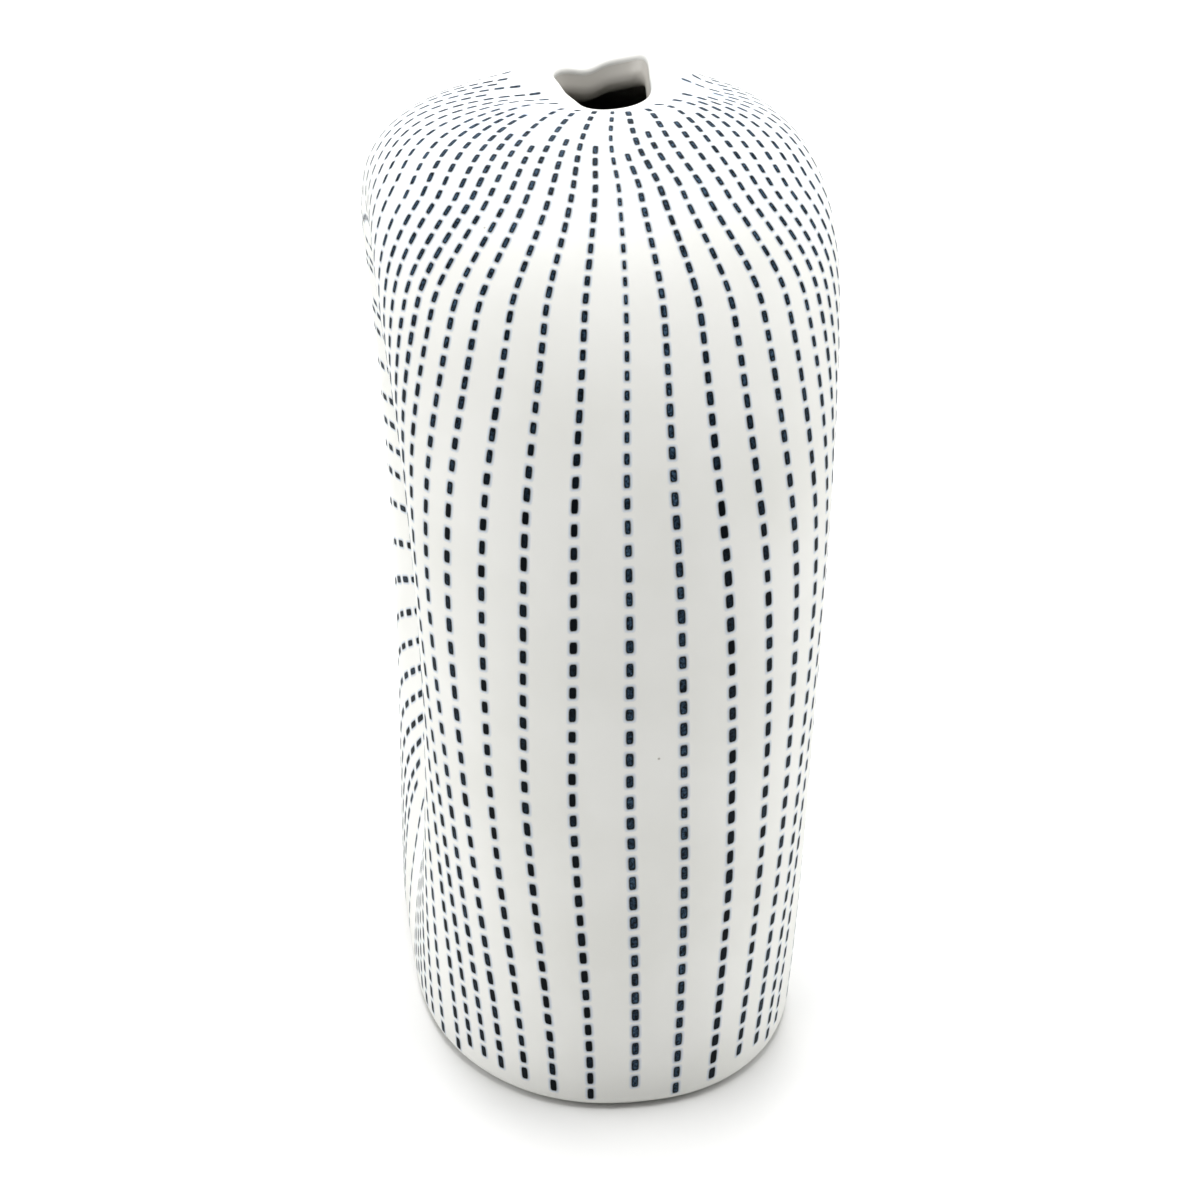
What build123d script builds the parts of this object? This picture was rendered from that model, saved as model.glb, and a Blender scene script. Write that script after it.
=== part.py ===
from build123d import *
from math import cos, exp, pi, sin
import os

# Pillow vase: a slip-cast porcelain vessel with a rounded crown, a small mouth and a
# pressed-in hollow in each broad face. X runs along its width, Y through its thickness,
# Z is up, and the origin is the middle of the foot. All sizes are in millimetres.

# Outside of the casting
height = 165.0
belly_width = 125.0
belly_height = 70.0
foot_width = 118.0
foot_thickness = 75.0
shoulder_thickness = 97.0
shoulder_height = 127.0

# Roundness exponents: 2 is an ellipse, more is squarer
plan_roundness = 2.25
crown_roundness_x = 2.1
crown_roundness_y = 2.9
flank_bulge = 1.4

# Pressed-in hollow in the middle of each broad face
hollow_depth = 28.0
hollow_height = 84.5
hollow_reach_x = 29.0
hollow_reach_z = 55.5

# Walls, mouth and foot
wall = 4.0
floor = 6.0
mouth_length = 20.0
mouth_width = 16.5
lip = 2.5
lip_radius = 1.2
foot_radius = 1.5
glaze = 0.5

# Fineness of the lofted skins
flank_stations = 4
crown_stations = 8
outline_points = 28


def signed_power(value, power):
    return abs(value) ** power if value >= 0 else -(abs(value) ** power)


def rounded_quarter(share, roundness):
    return max(0.0, 1.0 - share**roundness) ** (1.0 / roundness)


# One skin of the vase: the outside, the bare cavity, or the face of the glaze in it
class Skin:
    def __init__(self, inset, bottom, mouth_grow):
        self.inset = inset
        self.bottom = bottom
        self.top = height - inset
        self.mouth_x = mouth_length / 2 + mouth_grow
        self.mouth_y = mouth_width / 2 + mouth_grow

    # Height and half width at station t: 0 at the bottom, 1 at the belly, 2 at the mouth
    def profile(self, t):
        belly = belly_width / 2 - self.inset
        if t <= 1:
            z = self.bottom + (belly_height - self.bottom) * t
            fall = (1 - z / belly_height) ** 2
            return z, belly - (belly_width - foot_width) / 2 * fall
        turn = (t - 1) * pi / 2
        z = belly_height + (self.top - belly_height) * sin(turn) ** (2 / crown_roundness_x)
        reach = (belly - self.mouth_x) * max(0.0, cos(turn)) ** (2 / crown_roundness_x)
        return z, self.mouth_x + reach

    # Half thickness at height z, before the hollow is pressed in
    def half_thickness(self, z):
        shoulder = shoulder_thickness / 2 - self.inset
        if z <= shoulder_height:
            fall = (1 - z / shoulder_height) ** flank_bulge
            return shoulder - (shoulder_thickness - foot_thickness) / 2 * fall
        rise = (z - shoulder_height) / (self.top - shoulder_height)
        return self.mouth_y + (shoulder - self.mouth_y) * rounded_quarter(rise, crown_roundness_y)

    # Plan outline at station t, as the points of one closed curve
    def outline(self, t):
        z, half_x = self.profile(t)
        half_y = self.half_thickness(z)
        press = hollow_depth / self.half_thickness(hollow_height)
        points = []
        for index in range(outline_points):
            angle = 2 * pi * index / outline_points
            x = half_x * signed_power(cos(angle), 2 / plan_roundness)
            y = half_y * signed_power(sin(angle), 2 / plan_roundness)
            fade = (x / hollow_reach_x) ** 2 + ((z - hollow_height) / hollow_reach_z) ** 2
            y *= 1 - press * exp(-fade)
            points.append((x, y))
        return z, points


flank = [index / flank_stations for index in range(flank_stations)]
crown = [1 + index / crown_stations for index in range(crown_stations + 1)]


# Flat section of a skin at station t
def section(skin, t):
    z, points = skin.outline(t)
    with BuildSketch(Plane.XY.offset(z)) as flat:
        with BuildLine():
            Spline(*points, periodic=True)
        make_face()
    return flat.sketch


# All the sections that a skin is lofted through, from its bottom to its mouth
def sections(skin):
    return [section(skin, t) for t in flank + crown]


outside = Skin(inset=0.0, bottom=0.0, mouth_grow=lip)
cavity = Skin(inset=wall, bottom=floor, mouth_grow=0.0)
glaze_face = Skin(inset=wall + glaze, bottom=floor + glaze, mouth_grow=-glaze)
glaze_top = height - lip_radius

# Porcelain casting: foot, walls, crown and lip in one shell
with BuildPart() as porcelain_body:
    loft(sections(outside))
    fillet(porcelain_body.faces().sort_by(Axis.Z)[0].edges(), foot_radius)
    loft(sections(cavity), mode=Mode.SUBTRACT)
    extrude(section(cavity, 2), amount=height - cavity.top, mode=Mode.SUBTRACT)
    lip_edges = porcelain_body.edges().group_by(Axis.Z)[-1]
    fillet(lip_edges.sort_by(SortBy.LENGTH)[0], lip_radius)

# Clear glaze that lines the cavity, so that the vase holds water
with BuildPart() as liner_glaze:
    loft(sections(cavity))
    extrude(section(cavity, 2), amount=glaze_top - cavity.top)
    loft(sections(glaze_face), mode=Mode.SUBTRACT)
    extrude(section(glaze_face, 2), amount=glaze_top - glaze_face.top, mode=Mode.SUBTRACT)

os.makedirs("parts", exist_ok=True)
porcelain_body.part.label = "porcelain_body"
export_step(porcelain_body.part, "parts/porcelain_body.step")
liner_glaze.part.label = "liner_glaze"
export_step(liner_glaze.part, "parts/liner_glaze.step")
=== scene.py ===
import bpy
import math
import random
import numpy as np
from mathutils import Matrix, Vector
from mathutils.bvhtree import BVHTree


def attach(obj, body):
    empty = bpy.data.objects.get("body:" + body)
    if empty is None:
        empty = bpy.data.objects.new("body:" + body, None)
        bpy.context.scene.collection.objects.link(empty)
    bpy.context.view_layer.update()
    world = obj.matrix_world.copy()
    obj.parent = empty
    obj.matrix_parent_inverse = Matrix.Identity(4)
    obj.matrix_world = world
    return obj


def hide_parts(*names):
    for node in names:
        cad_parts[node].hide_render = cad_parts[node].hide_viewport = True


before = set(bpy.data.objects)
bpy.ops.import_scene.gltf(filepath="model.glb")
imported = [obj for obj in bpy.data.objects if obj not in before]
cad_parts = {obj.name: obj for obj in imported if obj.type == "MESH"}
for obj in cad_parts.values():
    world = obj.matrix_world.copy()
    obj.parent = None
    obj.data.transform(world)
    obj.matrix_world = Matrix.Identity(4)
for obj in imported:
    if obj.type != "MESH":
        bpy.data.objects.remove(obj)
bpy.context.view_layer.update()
mm = 0.001
tiny = 1e-6
rng = random.Random(11)


# colour and node helpers

def hexColour(code):  # sRGB hex to the linear values that sockets take
    parts = [int(code[i:i + 2], 16) / 255 for i in (1, 3, 5)]
    return [c / 12.92 if c <= 0.04045 else ((c + 0.055) / 1.055) ** 2.4 for c in parts] + [1.0]


def grey(value):
    return (value, value, value, 1.0)


def addNode(tree, kind, settings=None, inputs=None):  # one node with its settings, values and links
    node = tree.nodes.new(kind)
    for key, value in (settings or {}).items():
        setattr(node, key, value)
    for key, value in (inputs or {}).items():
        if isinstance(value, bpy.types.NodeSocket):
            tree.links.new(value, node.inputs[key])
        else:
            node.inputs[key].default_value = value
    return node


def setRamp(node, places, colours):
    ramp = node.color_ramp
    while len(ramp.elements) < len(places):
        ramp.elements.new(1.0)
    for element, place, colour in zip(ramp.elements, places, colours):
        element.position = place
        element.color = colour
    return node


def newMaterial(name):
    material = bpy.data.materials.new(name)
    material.use_nodes = True
    tree = material.node_tree
    tree.nodes.clear()
    return material, tree


# shape and mesh helpers

def smoothStep(low, high, value):
    share = np.clip((value - low) / (high - low), 0.0, 1.0)
    return share * share * (3 - 2 * share)


def hump(value, at, reach):  # 1 at a place, fading away on both sides of it
    return math.exp(-((value - at) / reach) ** 2)


def signedPower(value, power):
    return np.sign(value) * np.abs(value) ** power


def ringMesh(name, rings, material):  # closed skin through rings of equal count, with a fan at each end
    count = len(rings[0])
    points = [np.mean(rings[0], axis=0)]
    points += [p for ring in rings for p in ring]
    points += [np.mean(rings[-1], axis=0)]
    last = len(points) - 1
    faces = []
    for i in range(count):
        j = (i + 1) % count
        faces.append((0, 1 + j, 1 + i))
        faces.append((last, last - count + i, last - count + j))
    for level in range(len(rings) - 1):
        a = 1 + level * count
        b = a + count
        for i in range(count):
            j = (i + 1) % count
            faces.append((a + i, a + j, b + j, b + i))
    mesh = bpy.data.meshes.new(name)
    mesh.from_pydata((np.array(points) * mm).tolist(), [], faces)
    mesh.polygons.foreach_set("use_smooth", [True] * len(mesh.polygons))
    mesh.materials.append(material)
    piece = bpy.data.objects.new(name, mesh)
    bpy.context.collection.objects.link(piece)
    return piece


def setAttribute(mesh, name, values):
    layer = mesh.attributes.new(name, "FLOAT", "POINT")
    layer.data.foreach_set("value", np.asarray(values, dtype=np.float32))


# porcelain casting

vase = {  # sizes in mm: the solid's, but for a softer foot edge
    "height": 165.0, "bellyWidth": 125.0, "bellyHeight": 70.0,
    "footWidth": 118.0, "footThickness": 75.0,
    "shoulderThickness": 97.0, "shoulderHeight": 127.0,
    "planRoundness": 2.25, "crownRoundnessX": 2.1, "crownRoundnessY": 2.9, "flankBulge": 1.4,
    "hollowDepth": 28.0, "hollowHeight": 84.5, "hollowReachX": 29.0, "hollowReachZ": 55.5,
    "wall": 4.0, "floor": 6.0, "mouthLength": 20.0, "mouthWidth": 16.5,
    "lip": 2.5, "lipRadius": 1.2, "footRadius": 3.2, "glaze": 0.5,
    "lipFlat": (2.1, 1.7, 1.2),  # rings of the lip's flat top, out from the mouth
    "footCaps": (0.1, 0.4, 0.7, 0.9, 0.97), "floorCaps": (0.9, 0.5, 0.1),
    "around": 360, "ringStep": 0.85, "innerStep": 3.0,  # fineness of the meshes
    "profileSamples": 6001, "planSamples": 1441,
}

mouth = {  # how the hand-finished lip leaves the true oval, in mm and degrees
    "shiftX": -0.4, "shiftY": 2.5, "shiftReach": 13.0,
    "lift": 2.2, "coneLong": 20.0, "coneSide": 3.0,
    "swing": 2.2, "swingToward": 150.0, "swingReach": 2.8,
    "waves": [(191.0, 16.0, -1.2), (128.0, 23.0, 1.6)],  # direction, width, rise
    "squeeze": -0.04, "shapeReach": 5.0,
    "corners": [(130.0, 24.0, 0.12), (222.0, 20.0, 0.28), (303.0, 34.0, -0.2)],  # direction, width, share
}

neck = {  # mm: the soft inner edge under the lip
    "throat": (163.0, 162.2, 161.6), "round": 1.9, "level": 159.2, "join": 4.5,
}


def halfThickness(inset, mouthGrow, z):
    shoulder = vase["shoulderThickness"] / 2 - inset
    fall = np.clip(1 - z / vase["shoulderHeight"], 0, 1) ** vase["flankBulge"]
    flank = shoulder - (vase["shoulderThickness"] - vase["footThickness"]) / 2 * fall
    top = vase["height"] - inset
    rise = np.clip((z - vase["shoulderHeight"]) / (top - vase["shoulderHeight"]), 0, 1)
    mouthY = vase["mouthWidth"] / 2 + mouthGrow
    e = vase["crownRoundnessY"]
    crown = mouthY + (shoulder - mouthY) * np.maximum(0, 1 - rise ** e) ** (1 / e)
    return np.where(z <= vase["shoulderHeight"], flank, crown)


def sideProfile(inset, bottom, mouthGrow, t):  # height and half width: 0 bottom, 1 belly, 2 mouth
    belly = vase["bellyWidth"] / 2 - inset
    mouthX = vase["mouthLength"] / 2 + mouthGrow
    zLow = bottom + (vase["bellyHeight"] - bottom) * np.minimum(t, 1)
    fall = (1 - zLow / vase["bellyHeight"]) ** 2
    lowHalf = belly - (vase["bellyWidth"] - vase["footWidth"]) / 2 * fall
    turn = np.clip(t - 1, 0, 1) * math.pi / 2
    power = 2 / vase["crownRoundnessX"]
    zHigh = vase["bellyHeight"] + (vase["height"] - inset - vase["bellyHeight"]) * np.sin(turn) ** power
    highHalf = mouthX + (belly - mouthX) * np.maximum(0, np.cos(turn)) ** power
    return np.where(t <= 1, zLow, zHigh), np.where(t <= 1, lowHalf, highHalf)


def evenStations(inset, bottom, mouthGrow, step):  # stations that lie evenly along the end's profile
    t = np.linspace(0, 2, vase["profileSamples"])
    z, half = sideProfile(inset, bottom, mouthGrow, t)
    run = np.concatenate([[0], np.cumsum(np.hypot(np.diff(z), np.diff(half)))])
    return np.interp(np.linspace(0, run[-1], int(run[-1] / step) + 1), run, t)


def bump(angle, centre, width):
    away = (angle - math.radians(centre) + math.pi) % (2 * math.pi) - math.pi
    return np.exp(-(away / math.radians(width)) ** 2)


def warpMouth(ring, distance):  # moves a ring as the lip was pulled, less and less away from the mouth
    angle = np.arctan2(ring[:, 1], ring[:, 0])
    shape = mouth["squeeze"] + sum(size * bump(angle, at, width) for at, width, size in mouth["corners"])
    grow = 1 + shape * hump(distance, 0, mouth["shapeReach"])
    shift = hump(distance, 0, mouth["shiftReach"])
    swing = mouth["swing"] * np.cos(angle - math.radians(mouth["swingToward"]))
    swing = swing + sum(size * bump(angle, at, width) for at, width, size in mouth["waves"])
    cone = mouth["coneLong"] * np.cos(angle) ** 2 + mouth["coneSide"] * np.sin(angle) ** 2
    lift = mouth["lift"] * np.exp(-distance / cone)
    return np.stack([
        ring[:, 0] * grow + mouth["shiftX"] * shift,
        ring[:, 1] * grow + mouth["shiftY"] * shift,
        ring[:, 2] + lift + swing * hump(distance, 0, mouth["swingReach"]),
    ], axis=1)


def planRing(inset, mouthGrow, z, half):  # one level's outline, its points evenly apart from the +X end round
    angle = np.linspace(0, 2 * math.pi, vase["planSamples"])
    halfY = float(halfThickness(inset, mouthGrow, np.array(z)))
    x = half * signedPower(np.cos(angle), 2 / vase["planRoundness"])
    y = halfY * signedPower(np.sin(angle), 2 / vase["planRoundness"])
    press = vase["hollowDepth"] / float(halfThickness(inset, mouthGrow, np.array(vase["hollowHeight"])))
    fade = (x / vase["hollowReachX"]) ** 2 + ((z - vase["hollowHeight"]) / vase["hollowReachZ"]) ** 2
    y = y * (1 - press * np.exp(-fade))
    run = np.concatenate([[0], np.cumsum(np.hypot(np.diff(x), np.diff(y)))])
    even = np.linspace(0, run[-1], vase["around"] + 1)[:-1]
    level = np.full(len(even), float(z))
    return np.stack([np.interp(even, run, x), np.interp(even, run, y), level], axis=1)


def skinRings(inset, bottom, mouthGrow, step):  # rings of one skin from its bottom to its mouth
    rings = []
    mouthX = vase["mouthLength"] / 2 + mouthGrow
    for t in evenStations(inset, bottom, mouthGrow, step):
        z, half = (float(v) for v in sideProfile(inset, bottom, mouthGrow, np.array(t)))
        rings.append(warpMouth(planRing(inset, mouthGrow, z, half), half - mouthX))
    return rings


def mouthRing(grow, z):  # a ring of the mouth itself
    half = vase["mouthLength"] / 2 + grow
    ring = planRing(0.0, grow, vase["height"], half)
    ring[:, 2] = z
    return warpMouth(ring, 0.0)


def insetRing(ring, amount, z):  # the same outline, drawn in by an amount
    centre = ring.mean(axis=0)
    flat = ring - centre
    reach = np.hypot(flat[:, 0], flat[:, 1])
    drawn = centre + flat * (1 - amount / reach)[:, None]
    drawn[:, 2] = z
    return drawn


def capRings(ring, shares):  # smaller copies of a ring towards its middle
    centre = ring.mean(axis=0)
    return [centre + (ring - centre) * share for share in shares]


def neckRings(inset):  # down the throat, round its inner edge and out under the crown
    rings = [mouthRing(-inset, z) for z in neck["throat"]]
    for degrees in range(0, 91, 15):
        a = math.radians(degrees)
        rings.append(mouthRing(neck["round"] * (1 - math.cos(a)) - inset,
                               neck["level"] - inset + neck["round"] * (1 - math.sin(a))))
    return rings


def underCrown(rings):  # the rings of an inner skin that lie beyond the throat
    throat = vase["mouthLength"] / 2 + mouth["shiftX"] + neck["join"]
    return [ring for ring in rings if ring[:, 0].max() > throat]


outerRings = skinRings(0.0, 0.0, vase["lip"], vase["ringStep"])
flankRings = [ring for ring in outerRings if ring[0, 2] > vase["footRadius"]]
footEdge = []
for degrees in range(0, 90, 10):
    a = math.radians(degrees)
    footEdge.append(insetRing(flankRings[0], vase["footRadius"] * (1 - math.sin(a)),
                              vase["footRadius"] * (1 - math.cos(a))))
lipRings = [mouthRing(grow, vase["height"]) for grow in vase["lipFlat"]]
for degrees in range(15, 91, 15):
    a = math.radians(degrees)
    lipRings.append(mouthRing(vase["lipRadius"] * (1 - math.sin(a)),
                              vase["height"] - vase["lipRadius"] * (1 - math.cos(a))))
cavityRings = underCrown(skinRings(vase["wall"], vase["floor"], 0.0, vase["innerStep"]))
bodyRings = (capRings(footEdge[0], vase["footCaps"]) + footEdge + flankRings + lipRings + neckRings(0.0)
             + cavityRings[::-1] + capRings(cavityRings[0], vase["floorCaps"]))
print("casting rings:", len(bodyRings))


# rows of dashes

rows = {  # sizes in mm, places as shares of the way round or of the height
    "count": 62, "pitch": 3.95, "pitchSwing": (0.97, 1.03), "mouthPitchLoss": 0.32, "footPitchLoss": 0.1,
    "length": 2.55, "lowLength": 0.09, "crownShort": 0.22, "lengthSwing": (0.9, 1.1),
    "width": 1.28, "crownNarrow": 0.27, "rowWidthSwing": 0.07, "widthSwing": (0.92, 1.08),
    "rowSkew": 0.1, "skewSwing": 0.07, "rowPale": 0.35, "crownPale": 0.65, "paleSwing": 0.2,
    "paleRows": (0, 1), "palest": 0.75, "fineRow": 0, "fineLoss": 0.3, "fineBand": (0.45, 0.85),
    "footBand": (0.0, 0.3), "lowBand": (0.5, 0.15), "crownBand": (0.6, 0.96),
    # how the rows spread and crowd on their way round
    "girth": 334.0, "endSpread": 0.19, "endSpreadAt": 0.64, "endSpreadReach": 0.2,
    "mouthCrowd": 0.25, "mouthCrowdBand": (0.86, 0.99), "sideCrowd": 0.36,
    "lowCrowd": 0.2, "lowCrowdAt": 0.3, "lowCrowdReach": 0.2,
    "mouthEven": 0.13, "mouthEvenBand": (0.85, 0.97),
    # how they lean, and how those beside the near end wander
    "leanFoot": 0.3, "leanWaist": -2.6, "waistBand": (0.0, 0.6), "leanCrown": 1.6, "leanBand": (0.68, 0.95),
    "lowPull": -1.5, "lowPullAt": -0.026, "lowPullBand": (0.35, 0.6), "pullReach": 0.035,
    "highPull": -1.9, "highPullAt": 0.045, "highPullBand": (0.4, 0.8),
    "lipPull": -5.0, "lipPullAt": 0.045, "lipPullReach": 0.055, "lipPullBand": (0.955, 1.005),
    "lipFan": 0.035, "lipFanAt": 0.22, "lipFanReach": 0.1, "lipFanBand": (0.94, 1.01),
    # where they begin and end
    "topRings": 1.6, "start": 1.2, "startSwing": 1.8, "lateStart": 10.0, "lateEvery": 7, "lateTurn": 5,
    "rearStart": 4.5, "rearBand": (0.25, -0.25), "placeSwing": 0.0008, "footMargin": 3.4,
    "nearest": 2.6, "nearestStart": 2.4, "nearestFlank": 2.0, "flankBelow": 0.6, "guardFrom": 0.05,
    "cell": 4.0, "subSteps": 3, "most": 80, "probe": 0.002,
}

leaf = {  # rows that spread from a spine down the middle of each hollow, in mm
    "spineX": -4.0, "height": 84.0, "reach": 36.0, "stretchZ": 1.7, "sharpness": 14,
    "farthest": 3.0, "faintest": 0.004,
    "flatness": 60.0, "levelBand": 20.0, "droop": 3.0, "spineWidth": 8.0,
    "seedStep": 5.2, "lowest": 30.0, "highest": 134.0, "seedOff": 2.6, "firstGap": 1.2, "stagger": 1.6,
}

grid = np.array(outerRings)  # ring, point, xyz
gridHeights = grid[:, :, 2].mean(axis=1)


def through(band, value):  # how far a value has come through one of the rows' bands, from 0 to 1
    return float(smoothStep(*rows[band], value))


def rowShare(kappa, z):  # share of the way round at which a row runs at a height
    h = z / vase["height"]
    spread = rows["endSpread"] * hump(h, rows["endSpreadAt"], rows["endSpreadReach"])
    spread -= rows["mouthCrowd"] * through("mouthCrowdBand", h)
    crowd = rows["sideCrowd"] + rows["lowCrowd"] * hump(h, rows["lowCrowdAt"], rows["lowCrowdReach"])
    crowd -= rows["mouthEven"] * through("mouthEvenBand", h)
    lean = (rows["leanFoot"] + rows["leanWaist"] * through("waistBand", h)
            + rows["leanCrown"] * through("leanBand", h))
    near = (kappa + 0.5) % 1.0 - 0.5  # rows beside the near end wander a little, as a hand draws them
    lowPull = rows["lowPull"] * hump(near, rows["lowPullAt"], rows["pullReach"])
    highPull = rows["highPull"] * hump(near, rows["highPullAt"], rows["pullReach"])
    lipPull = rows["lipPull"] * hump(near, rows["lipPullAt"], rows["lipPullReach"])
    lean += lowPull * (1 - through("lowPullBand", h)) + highPull * through("highPullBand", h)
    lean += lipPull * through("lipPullBand", h)
    fan = hump(abs(near), rows["lipFanAt"], rows["lipFanReach"]) * math.copysign(rows["lipFan"], near)
    fan *= through("lipFanBand", h)  # at the lip the rows of the broad sides come from further back
    turn = 4 * math.pi * kappa
    return (kappa + lean / rows["girth"] + fan + spread * math.sin(turn) / (4 * math.pi)
            + crowd * math.sin(2 * turn) / (8 * math.pi))


def onSkin(kappa, level):  # point of the outside at a row share and a ring level
    low = min(max(int(level), 0), len(grid) - 2)
    part = level - low
    z = gridHeights[low] * (1 - part) + gridHeights[low + 1] * part
    place = (rowShare(kappa, z) % 1.0) * vase["around"]
    i = int(place)
    f = place - i
    j = (i + 1) % vase["around"]
    i %= vase["around"]
    a = grid[low, i] * (1 - f) + grid[low, j] * f
    b = grid[low + 1, i] * (1 - f) + grid[low + 1, j] * f
    return a * (1 - part) + b * part


def skinFrame(kappa, level):
    probe = rows["probe"]
    here = onSkin(kappa, level)
    alongKappa = (onSkin(kappa + probe, level) - onSkin(kappa - probe, level)) / (2 * probe)
    alongLevel = onSkin(kappa, level + 0.5) - onSkin(kappa, level - 0.5)
    return here, alongKappa, alongLevel


def rowHeading(here, alongKappa, alongLevel):  # straight down, or out from the spine inside a hollow
    down = -alongLevel / np.linalg.norm(alongLevel)
    side = 1 if here[1] > 0 else -1
    dx = here[0] - side * -leaf["spineX"]
    dz = here[2] - leaf["height"]
    away = math.hypot(dx, dz / leaf["stretchZ"]) / leaf["reach"]
    weight = math.exp(-min(away, leaf["farthest"]) ** leaf["sharpness"])
    if weight < leaf["faintest"]:
        return down, weight
    flat = alongKappa / np.linalg.norm(alongKappa)
    if flat[0] < 0:
        flat = -flat
    up = -down - flat * float(np.dot(-down, flat))
    up = up / np.linalg.norm(up)
    rise = min(0.0, dz) + max(0.0, dz - leaf["levelBand"]) - leaf["droop"]
    out = flat * leaf["flatness"] * math.tanh(dx / leaf["spineWidth"]) + up * rise
    out = out / max(tiny, np.linalg.norm(out))
    heading = down * (1 - weight) + out * weight
    return heading / max(tiny, np.linalg.norm(heading)), weight


def walk(kappa, level, length):  # one step of a row over the skin
    here, alongKappa, alongLevel = skinFrame(kappa, level)
    heading, weight = rowHeading(here, alongKappa, alongLevel)
    basis = np.stack([alongKappa, alongLevel], axis=1)
    change = np.linalg.lstsq(basis, heading * length, rcond=None)[0]
    return kappa + float(change[0]), level + float(change[1]), heading, weight


taken = {}  # dashes already set, by cell, so that rows stop before they touch


def cellOf(point):
    return tuple(int(math.floor(v / rows["cell"])) for v in point)


def tooClose(point, row, nearest):
    cx, cy, cz = cellOf(point)
    for i in (-1, 0, 1):
        for j in (-1, 0, 1):
            for k in (-1, 0, 1):
                for other, name in taken.get((cx + i, cy + j, cz + k), ()):
                    if name != row and np.linalg.norm(other - point) < nearest:
                        return True
    return False


def traceRow(name, kappa, level, firstGap, guarded):  # dash places down one row
    marks = []
    ahead = firstGap
    for _ in range(rows["most"]):
        for _ in range(rows["subSteps"]):
            kappa, level, heading, weight = walk(kappa, level, ahead / rows["subSteps"])
            if not 0 < level < len(grid) - 1:
                return marks
        here = onSkin(kappa, level)
        if here[2] < rows["footMargin"]:
            return marks
        high = through("crownBand", here[2] / vase["height"])
        guarded = guarded or weight > rows["guardFrom"]
        if guarded and tooClose(here, name, rows["nearest"]):
            return marks
        if high < rows["flankBelow"] and tooClose(here, name, rows["nearestFlank"]):
            return marks
        if marks or not tooClose(here, name, rows["nearestStart"]):  # a row begins where there is room
            marks.append((here, heading, high))
        low = 1 - through("footBand", here[2] / vase["height"])
        ahead = (rows["pitch"] * (1 - rows["mouthPitchLoss"] * high) * (1 - rows["footPitchLoss"] * low)
                 * rng.uniform(*rows["pitchSwing"]))
    return marks


def keepRow(name, marks):
    for here, heading, high in marks:
        taken.setdefault(cellOf(here), []).append((here, name))


def rowTurn(k):  # every other row first, and those of the ends before those of the broad sides
    return k % 2, abs(math.sin(2 * math.pi * k / rows["count"]))


mouthRows = []
for k in sorted(range(rows["count"]), key=rowTurn):
    late = k % rows["lateEvery"] == rows["lateTurn"]
    gap = (rows["lateStart"] if late else rows["start"]) + rng.uniform(0, rows["startSwing"])
    gap += rows["rearStart"] * through("rearBand", math.cos(2 * math.pi * k / rows["count"]))
    kappa = k / rows["count"] + rng.uniform(-rows["placeSwing"], rows["placeSwing"])
    marks = traceRow(("mouth", k), kappa, len(grid) - rows["topRings"], gap, False)
    keepRow(("mouth", k), marks)
    mouthRows.append((k, marks))

hollowRows = []
for side in (-1, 1):
    for step in range(int((leaf["highest"] - leaf["lowest"]) / leaf["seedStep"]) + 1):
        z = leaf["lowest"] + step * leaf["seedStep"]
        level = float(np.interp(z, gridHeights, np.arange(len(grid))))
        ring = grid[int(level)]
        for hand in (-1, 1):
            x = side * -leaf["spineX"] + hand * leaf["seedOff"]
            offSeed = np.where(ring[:, 1] * side > 0, np.abs(ring[:, 0] - x), np.inf)
            share = int(np.argmin(offSeed)) / vase["around"]
            name = ("hollow", side, step, hand)
            marks = traceRow(name, share, level, leaf["firstGap"] + leaf["stagger"] * (step % 2), True)
            keepRow(name, marks)
            hollowRows.append((side, marks))
print("rows:", len(mouthRows), "from the mouth,", len(hollowRows), "in the hollows,",
      sum(len(m) for _, m in mouthRows + hollowRows), "dashes")


# materials, with pattern sizes in mm

porcelainLook = {  # slip-cast porcelain, unglazed and rubbed smooth: a soft white with a faint sheen
    "white": "#eeeeea", "shade": "#e8e8e3", "cloud": 26.0, "cloudRamp": (0.35, 0.6),
    "smear": "#8fa6cf", "smearBreak": 4.5, "smearRamp": (0.38, 0.62), "smearLeast": 0.1,
    "speck": "#7d6f5c", "speckSpacing": 11.0, "speckRamp": (0.012, 0.026), "speckDark": 0.6,
    "halo": "#bcc8d8", "grain": 0.35, "bump": 0.12, "bumpDepth": 0.03, "rough": (0.46, 0.62), "ior": 1.5,
}

cobaltLook = {  # cobalt slip brushed on before firing: near black where it pooled, slate where it is thin
    "deep": "#04090f", "slate": "#3d556c", "grain": 0.45, "mottleRamp": (0.36, 0.64),
    "rough": (0.46, 0.62), "ior": 1.5, "specular": 0.06,
}

linerLook = {  # clear glaze over the white wall inside, fired glassy: a wet shine; its colours are greyer than the white wall as painted shade of the dim inside, and it darkens to a painted shade grey down the throat
    "thin": "#ccc8c0", "pale": "#d8d5ce", "paintedShadeGrey": "#5d5952", "cloud": 12.0, "cloudRamp": (0.3, 0.7),
    "rough": 0.3, "ior": 1.52,
}


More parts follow.
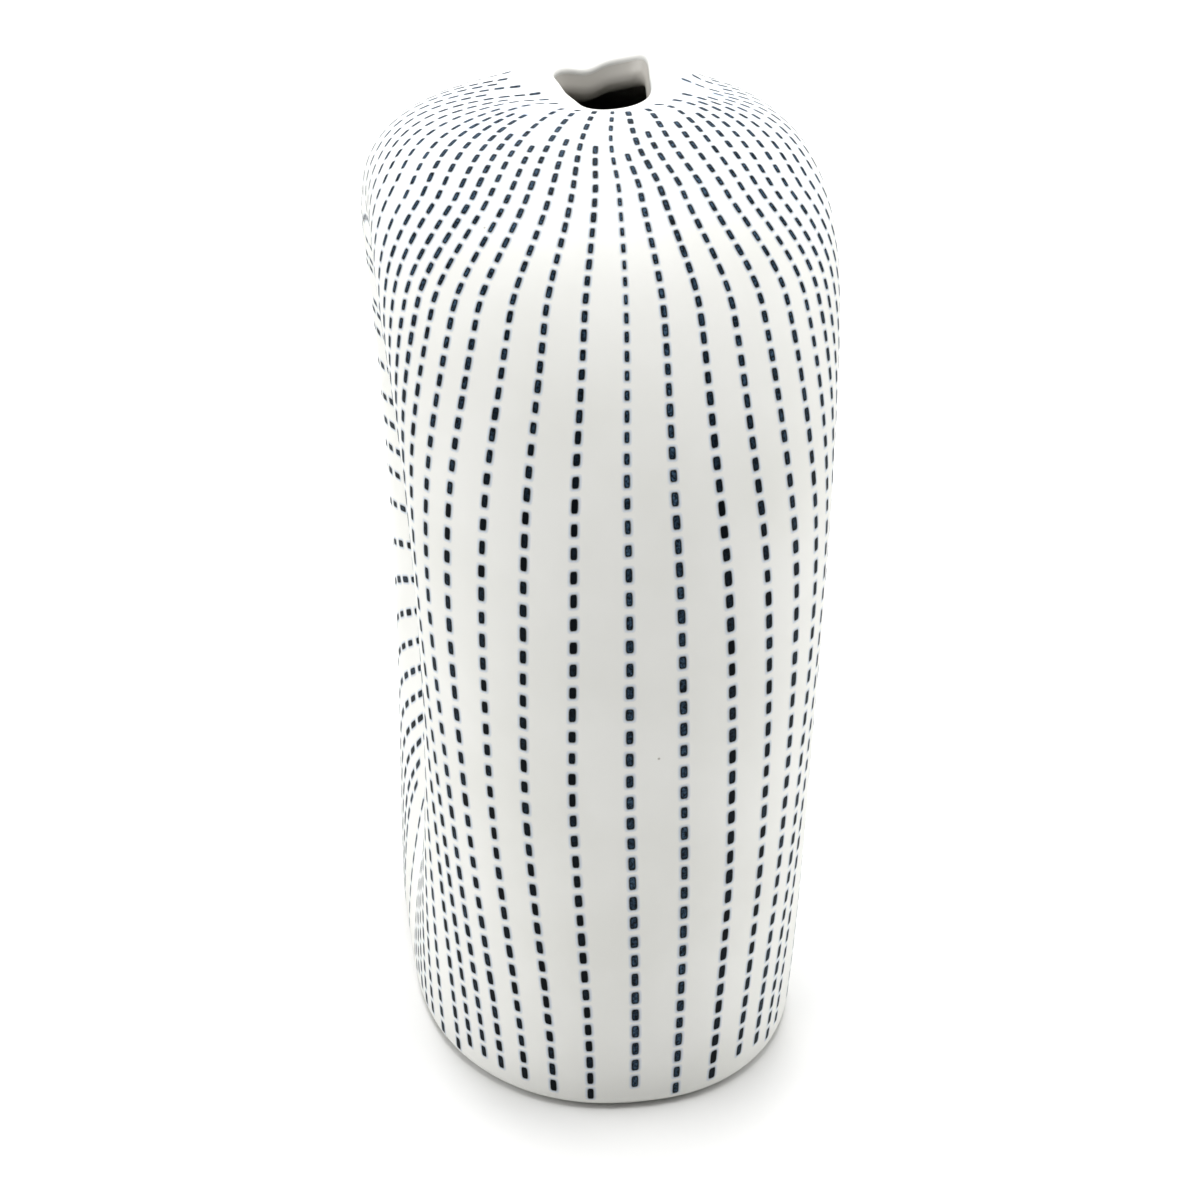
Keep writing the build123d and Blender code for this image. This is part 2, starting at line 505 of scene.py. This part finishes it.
def porcelainColour(tree, place):  # bare white clay, clouded, rubbed with colour in places, a few dark specks
    look = porcelainLook
    cloud = addNode(tree, "ShaderNodeTexNoise", None,
                    {"Vector": place, "Scale": 1 / (look["cloud"] * mm), "Detail": 3.0})
    base = setRamp(addNode(tree, "ShaderNodeValToRGB", None, {"Fac": cloud.outputs["Fac"]}),
                   look["cloudRamp"], (hexColour(look["shade"]), hexColour(look["white"])))
    rubbed = addNode(tree, "ShaderNodeAttribute", {"attribute_name": "smear"})
    streak = addNode(tree, "ShaderNodeTexNoise", None,
                     {"Vector": place, "Scale": 1 / (look["smearBreak"] * mm), "Detail": 4.0})
    broken = setRamp(addNode(tree, "ShaderNodeValToRGB", None, {"Fac": streak.outputs["Fac"]}),
                     look["smearRamp"], (grey(look["smearLeast"]), grey(1.0)))
    amount = addNode(tree, "ShaderNodeMath", {"operation": "MULTIPLY"},
                     {0: rubbed.outputs["Fac"], 1: broken.outputs["Color"]})
    smeared = addNode(tree, "ShaderNodeMix", {"data_type": "RGBA"}, {
        "Factor": amount.outputs["Value"], "A": base.outputs["Color"], "B": hexColour(look["smear"])})
    cells = addNode(tree, "ShaderNodeTexVoronoi", None,
                    {"Vector": place, "Scale": 1 / (look["speckSpacing"] * mm)})
    dot = setRamp(addNode(tree, "ShaderNodeValToRGB", None, {"Fac": cells.outputs["Distance"]}),
                  look["speckRamp"], (grey(look["speckDark"]), grey(0.0)))
    return addNode(tree, "ShaderNodeMix", {"data_type": "RGBA"}, {
        "Factor": dot.outputs["Color"], "A": smeared.outputs["Result"], "B": hexColour(look["speck"])})


def porcelainMaterial():
    look = porcelainLook
    material, tree = newMaterial("bisquePorcelain")
    place = addNode(tree, "ShaderNodeTexCoord").outputs["Object"]
    colour = porcelainColour(tree, place)
    grain = addNode(tree, "ShaderNodeTexNoise", None,
                    {"Vector": place, "Scale": 1 / (look["grain"] * mm), "Detail": 2.0})
    relief = addNode(tree, "ShaderNodeBump", None, {
        "Strength": look["bump"], "Distance": look["bumpDepth"] * mm, "Height": grain.outputs["Fac"]})
    rough = addNode(tree, "ShaderNodeMapRange", None, {
        "Value": grain.outputs["Fac"], "To Min": look["rough"][0], "To Max": look["rough"][1]})
    shader = addNode(tree, "ShaderNodeBsdfPrincipled", None, {
        "Base Color": colour.outputs["Result"], "Roughness": rough.outputs["Result"],
        "Normal": relief.outputs["Normal"], "IOR": look["ior"]})
    addNode(tree, "ShaderNodeOutputMaterial", None, {"Surface": shader.outputs["BSDF"]})
    return material


def cobaltMaterial():
    look = cobaltLook
    material, tree = newMaterial("cobaltSlip")
    place = addNode(tree, "ShaderNodeTexCoord").outputs["Object"]
    ink = addNode(tree, "ShaderNodeAttribute", {"attribute_name": "ink"})
    tone = addNode(tree, "ShaderNodeAttribute", {"attribute_name": "tone"})
    halo = addNode(tree, "ShaderNodeAttribute", {"attribute_name": "halo"})
    clay = porcelainColour(tree, place)
    skin = addNode(tree, "ShaderNodeMix", {"data_type": "RGBA"}, {
        "Factor": halo.outputs["Fac"], "A": clay.outputs["Result"], "B": hexColour(porcelainLook["halo"])})
    grain = addNode(tree, "ShaderNodeTexNoise", None,
                    {"Vector": place, "Scale": 1 / (look["grain"] * mm), "Detail": 3.0})
    mottle = setRamp(addNode(tree, "ShaderNodeValToRGB", None, {"Fac": grain.outputs["Fac"]}),
                     look["mottleRamp"], (grey(0.0), grey(1.0)))
    thin = addNode(tree, "ShaderNodeMath", {"operation": "MULTIPLY"},
                   {0: tone.outputs["Fac"], 1: mottle.outputs["Color"]})
    slip = addNode(tree, "ShaderNodeMix", {"data_type": "RGBA"}, {
        "Factor": thin.outputs["Value"], "A": hexColour(look["deep"]), "B": hexColour(look["slate"])})
    colour = addNode(tree, "ShaderNodeMix", {"data_type": "RGBA"}, {
        "Factor": ink.outputs["Fac"], "A": skin.outputs["Result"], "B": slip.outputs["Result"]})
    rough = addNode(tree, "ShaderNodeMapRange", None, {
        "Value": grain.outputs["Fac"], "To Min": look["rough"][0], "To Max": look["rough"][1]})
    shader = addNode(tree, "ShaderNodeBsdfPrincipled", None, {
        "Base Color": colour.outputs["Result"], "Roughness": rough.outputs["Result"],
        "IOR": look["ior"], "Specular IOR Level": look["specular"]})
    addNode(tree, "ShaderNodeOutputMaterial", None, {"Surface": shader.outputs["BSDF"]})
    return material


def glazeMaterial():
    look = linerLook
    material, tree = newMaterial("linerGlaze")
    place = addNode(tree, "ShaderNodeTexCoord").outputs["Object"]
    cloud = addNode(tree, "ShaderNodeTexNoise", None,
                    {"Vector": place, "Scale": 1 / (look["cloud"] * mm), "Detail": 3.0})
    base = setRamp(addNode(tree, "ShaderNodeValToRGB", None, {"Fac": cloud.outputs["Fac"]}),
                   look["cloudRamp"], (hexColour(look["thin"]), hexColour(look["pale"])))
    # painted shade: the glaze colour darkens towards grey lower down the throat, standing in for the dark inside
    paintedShade = addNode(tree, "ShaderNodeAttribute", {"attribute_name": "paintedShade"})
    colour = addNode(tree, "ShaderNodeMix", {"data_type": "RGBA"}, {
        "Factor": paintedShade.outputs["Fac"], "A": base.outputs["Color"], "B": hexColour(look["paintedShadeGrey"])})
    shader = addNode(tree, "ShaderNodeBsdfPrincipled", None, {
        "Base Color": colour.outputs["Result"], "Roughness": look["rough"], "IOR": look["ior"]})
    addNode(tree, "ShaderNodeOutputMaterial", None, {"Surface": shader.outputs["BSDF"]})
    return material


porcelain = porcelainMaterial()
cobalt = cobaltMaterial()
glaze = glazeMaterial()


# pieces

body = ringMesh("porcelainCasting", bodyRings, porcelain)
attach(body, "root")
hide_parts("porcelain_body")

smears = [  # where wet colour was rubbed over the crown: middle and reach in mm, strength
    ((15.0, -15.0, 164.0), 8.0, 0.8), ((4.0, 20.0, 165.0), 8.0, 0.6), ((-6.0, -24.0, 162.0), 7.0, 0.25),
]


def smearAmount(points):
    amount = np.zeros(len(points))
    for centre, reach, strength in smears:
        gap = np.linalg.norm(np.array(points) - np.array(centre), axis=1)
        amount = np.maximum(amount, strength * np.exp(-(gap / reach) ** 2))
    return amount


setAttribute(body.data, "smear", smearAmount([v.co / mm for v in body.data.vertices]))

lining = {  # mm: how far it stands off the wall, how it thins out below the lip, and the heights between which its painted shade deepens from none to full
    "seat": 0.03, "top": 163.6, "taper": [(0.1, 163.2), (0.22, 162.6), (0.36, 162.0), (0.46, 161.5)],
    "shadeStartAbove": 167.0, "shadeFullBelow": 153.0, "sharpDegrees": 50,
}
liningBack = underCrown(skinRings(vase["wall"] + lining["seat"], vase["floor"] + lining["seat"],
                                  -lining["seat"], vase["innerStep"]))
liningFace = underCrown(skinRings(vase["wall"] + vase["glaze"], vase["floor"] + vase["glaze"],
                                  -vase["glaze"], vase["innerStep"]))
liningRings = (capRings(liningBack[0], vase["floorCaps"][::-1]) + liningBack
               + neckRings(lining["seat"])[::-1] + [mouthRing(-lining["seat"], lining["top"])]
               + [mouthRing(-thick, z) for thick, z in lining["taper"]]
               + neckRings(vase["glaze"])[len(neck["throat"]):]
               + liningFace[::-1] + capRings(liningFace[0], vase["floorCaps"]))
liner = ringMesh("linerGlaze", liningRings, glaze)
liner.data.set_sharp_from_angle(angle=math.radians(lining["sharpDegrees"]))
# painted shade: none up at the lip, full deeper down the throat
setAttribute(liner.data, "paintedShade", [
    float(smoothStep(lining["shadeStartAbove"], lining["shadeFullBelow"], v.co.z / mm)) for v in liner.data.vertices])
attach(liner, "root")
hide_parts("liner_glaze")
print("casting and lining built")

skinTree = BVHTree.FromPolygons([v.co[:] for v in body.data.vertices],
                                [p.vertices[:] for p in body.data.polygons])

dash = {  # mm: the pooled edge, the soft rim, the pale halo, and how each pad sits in the skin
    "edge": 0.1, "rim": 0.13, "halo": 0.4, "haloLoss": 0.4, "tint": 0.8, "core": 0.36,
    "leastCore": (0.2, 0.1), "leastEdge": 0.15,
    "raise": 0.045, "rimRaise": 0.6, "haloRaise": 0.2, "sink": 0.04,
    "points": 16, "corner": 4.2, "strips": 5, "sharpDegrees": 40,
}


def dashOutline(halfLength, halfWidth, skew):
    places = []
    for i in range(dash["points"]):
        a = 2 * math.pi * (i + 0.5) / dash["points"]
        u = halfLength * float(signedPower(math.cos(a), 2 / dash["corner"]))
        v = halfWidth * float(signedPower(math.sin(a), 2 / dash["corner"]))
        places.append((u + skew * v, v))
    return places


def dashPiece(name, marks):  # every dash a thin pad that follows the skin, ink in the middle and halo round it
    points, faces, ink, tone, halo = [], [], [], [], []
    count = dash["points"]
    leastLong, leastWide = dash["leastCore"]
    for here, heading, high, thin, rowPale, rowSkew in marks:
        low = through("lowBand", here[2] / vase["height"])
        halfLength = (rows["length"] / 2 * (1 - rows["lowLength"] + rows["lowLength"] * low)
                      * (1 - rows["crownShort"] * high) * (0.5 + 0.5 * thin)
                      * rng.uniform(*rows["lengthSwing"]))
        halfWidth = (rows["width"] / 2 * (1 - rows["crownNarrow"] * high) * thin
                     * rng.uniform(*rows["widthSwing"]))
        skew = rowSkew + rng.uniform(-rows["skewSwing"], rows["skewSwing"])
        pale = rowPale + rows["crownPale"] * high + rng.uniform(-rows["paleSwing"], rows["paleSwing"])
        pale = min(1.0, max(0.0, pale))
        skirt = dash["rim"] + dash["halo"] * (1 - dash["haloLoss"] * high)
        hit, normal, _, _ = skinTree.find_nearest(Vector(here * mm))
        along = Vector(heading)
        along = (along - normal * along.dot(normal)).normalized()
        across = normal.cross(along)
        start = len(points)
        centre = [(0.0, 0.0)]
        core = dashOutline(max(leastLong, halfLength - dash["core"]),
                           max(leastWide, halfWidth - dash["core"]), skew)
        edge = dashOutline(halfLength - dash["edge"], max(dash["leastEdge"], halfWidth - dash["edge"]), skew)
        rim = dashOutline(halfLength + dash["rim"], halfWidth + dash["rim"], skew)
        outer = dashOutline(halfLength + skirt, halfWidth + skirt, skew)
        lift = dash["raise"]
        spots = [(spot, 1.0, pale, 0.0, lift) for spot in centre + core]  # place, ink, tone, halo, height
        spots += [(spot, 1.0, 0.0, 0.0, lift) for spot in edge]
        spots += [(spot, 0.0, 0.0, dash["tint"], lift * dash["rimRaise"]) for spot in rim]
        spots += [(spot, 0.0, 0.0, 0.0, lift * dash["haloRaise"]) for spot in outer]
        spots += [(spot, 0.0, 0.0, 0.0, -dash["sink"]) for spot in outer + edge + centre]  # under the skin
        for (u, v), inkHere, toneHere, haloHere, height in spots:
            near, facing, _, _ = skinTree.find_nearest(hit + (along * u + across * v) * mm)
            points.append(near + facing * height * mm)
            ink.append(inkHere)
            tone.append(toneHere)
            halo.append(haloHere)
        for i in range(count):
            j = (i + 1) % count
            faces.append((start, start + 1 + i, start + 1 + j))
            for level in range(dash["strips"]):
                a = start + 1 + level * count
                faces.append((a + i, a + count + i, a + count + j, a + j))
            faces.append((a + count + i, len(points) - 1, a + count + j))
    mesh = bpy.data.meshes.new(name)
    mesh.from_pydata([p[:] for p in points], [], faces)
    mesh.polygons.foreach_set("use_smooth", [True] * len(mesh.polygons))
    mesh.set_sharp_from_angle(angle=math.radians(dash["sharpDegrees"]))
    setAttribute(mesh, "ink", ink)
    setAttribute(mesh, "tone", tone)
    setAttribute(mesh, "halo", halo)
    setAttribute(mesh, "smear", smearAmount([p / mm for p in points]))
    mesh.materials.append(cobalt)
    piece = bpy.data.objects.new(name, mesh)
    bpy.context.collection.objects.link(piece)
    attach(piece, "root")
    return piece


def rowHand(k, here, rowWidth):  # how broad a row was drawn: the one down the near end grows fine towards the mouth
    if k != rows["fineRow"]:
        return rowWidth
    return rowWidth * (1 - rows["fineLoss"] * through("fineBand", here[2] / vase["height"]))


groups = {"nearEndDashes": [], "farEndDashes": [], "frontHollowDashes": [], "backHollowDashes": []}
for k, marks in mouthRows:
    rowWidth = 1 + rng.uniform(-rows["rowWidthSwing"], rows["rowWidthSwing"])
    rowPale = rows["palest"] if k in rows["paleRows"] else rng.uniform(0.0, rows["rowPale"])
    rowSkew = rng.uniform(-rows["rowSkew"], rows["rowSkew"])
    group = groups["nearEndDashes" if math.cos(2 * math.pi * k / rows["count"]) > 0 else "farEndDashes"]
    group += [(here, heading, high, rowHand(k, here, rowWidth), rowPale, rowSkew)
              for here, heading, high in marks]
for side, marks in hollowRows:
    rowPale = rng.uniform(0.0, rows["rowPale"])
    group = groups["frontHollowDashes" if side < 0 else "backHollowDashes"]
    group += [(here, heading, high, 1.0, rowPale, 0.0) for here, heading, high in marks]
for name, marks in groups.items():
    dashPiece(name, marks)
    print(name, len(marks), "dashes")


# floor, light and camera

studio = {  # metres and watts
    "floorSize": 12.0, "floor": "#e7e7e6", "floorRough": 0.7, "world": 0.12, "aim": (0, 0, 0.08),
    "boxes": [  # name, place, size, power
        ("keyBox", (0.1, 0.0, 1.9), 1.0, 36.0), ("backBox", (-1.2, 0.0, 1.7), 1.5, 32.0),
        ("leftBox", (-0.1, -1.0, 0.45), 0.9, 5.2), ("rightBox", (-0.1, 1.0, 0.45), 0.9, 5.2),
    ],
}

floorMesh = bpy.data.meshes.new("studioFloor")
edge = studio["floorSize"] / 2
floorMesh.from_pydata([(-edge, -edge, 0), (edge, -edge, 0), (edge, edge, 0), (-edge, edge, 0)], [],
                      [(0, 1, 2, 3)])
floorPaper, floorTree = newMaterial("whiteSweepPaper")  # matt white paper: a plain pale ground
paper = addNode(floorTree, "ShaderNodeBsdfPrincipled", None, {
    "Base Color": hexColour(studio["floor"]), "Roughness": studio["floorRough"]})
addNode(floorTree, "ShaderNodeOutputMaterial", None, {"Surface": paper.outputs["BSDF"]})
floorMesh.materials.append(floorPaper)
studioFloor = bpy.data.objects.new("studioFloor", floorMesh)
bpy.context.collection.objects.link(studioFloor)

world = bpy.data.worlds.new("softTent")
bpy.context.scene.world = world
world.use_nodes = True
sky = world.node_tree.nodes["Background"]
sky.inputs["Color"].default_value = grey(1.0)
sky.inputs["Strength"].default_value = studio["world"]

for name, place, size, watts in studio["boxes"]:  # square panels that look at the middle of the vase
    light = bpy.data.lights.new(name, "AREA")
    light.shape = "SQUARE"
    light.size = size
    light.energy = watts
    lamp = bpy.data.objects.new(name, light)
    lamp.location = place
    aim = Vector(studio["aim"]) - Vector(place)
    lamp.rotation_euler = aim.to_track_quat("-Z", "Y").to_euler()
    bpy.context.collection.objects.link(lamp)

view = {  # where the photograph was taken from, in mm and degrees
    "distance": 421.3, "height": 267.6, "azimuth": 8.313, "yaw": 0.159, "pitch": 25.0, "roll": 0.29,
    "shiftY": 0.6, "focalPixels": 2517.0, "framePixels": 1200.0, "sensor": 36.0, "nearest": 10.0,
}
azimuth = math.radians(view["azimuth"])
facing = azimuth + math.radians(view["yaw"])
pitch = math.radians(view["pitch"])
roll = math.radians(view["roll"])
eye = mm * Vector((view["distance"] * math.cos(azimuth),
                   -view["distance"] * math.sin(azimuth) + view["shiftY"], view["height"]))
ahead = Vector((-math.cos(facing) * math.cos(pitch), math.sin(facing) * math.cos(pitch), -math.sin(pitch)))
right = ahead.cross(Vector((0, 0, 1))).normalized()
above = right.cross(ahead)
rolledRight = right * math.cos(roll) + above * math.sin(roll)
rolledAbove = above * math.cos(roll) - right * math.sin(roll)
camera = bpy.data.objects.new("camera", bpy.data.cameras.new("camera"))
camera.data.sensor_width = view["sensor"]
camera.data.lens = view["sensor"] * view["focalPixels"] / view["framePixels"]
camera.data.clip_start = view["nearest"] * mm
turn = Matrix((rolledRight, rolledAbove, -ahead)).transposed()
camera.matrix_world = Matrix.Translation(eye) @ turn.to_4x4()
bpy.context.collection.objects.link(camera)
bpy.context.scene.camera = camera
bpy.context.scene.view_settings.view_transform = "Standard"
print("studio set")
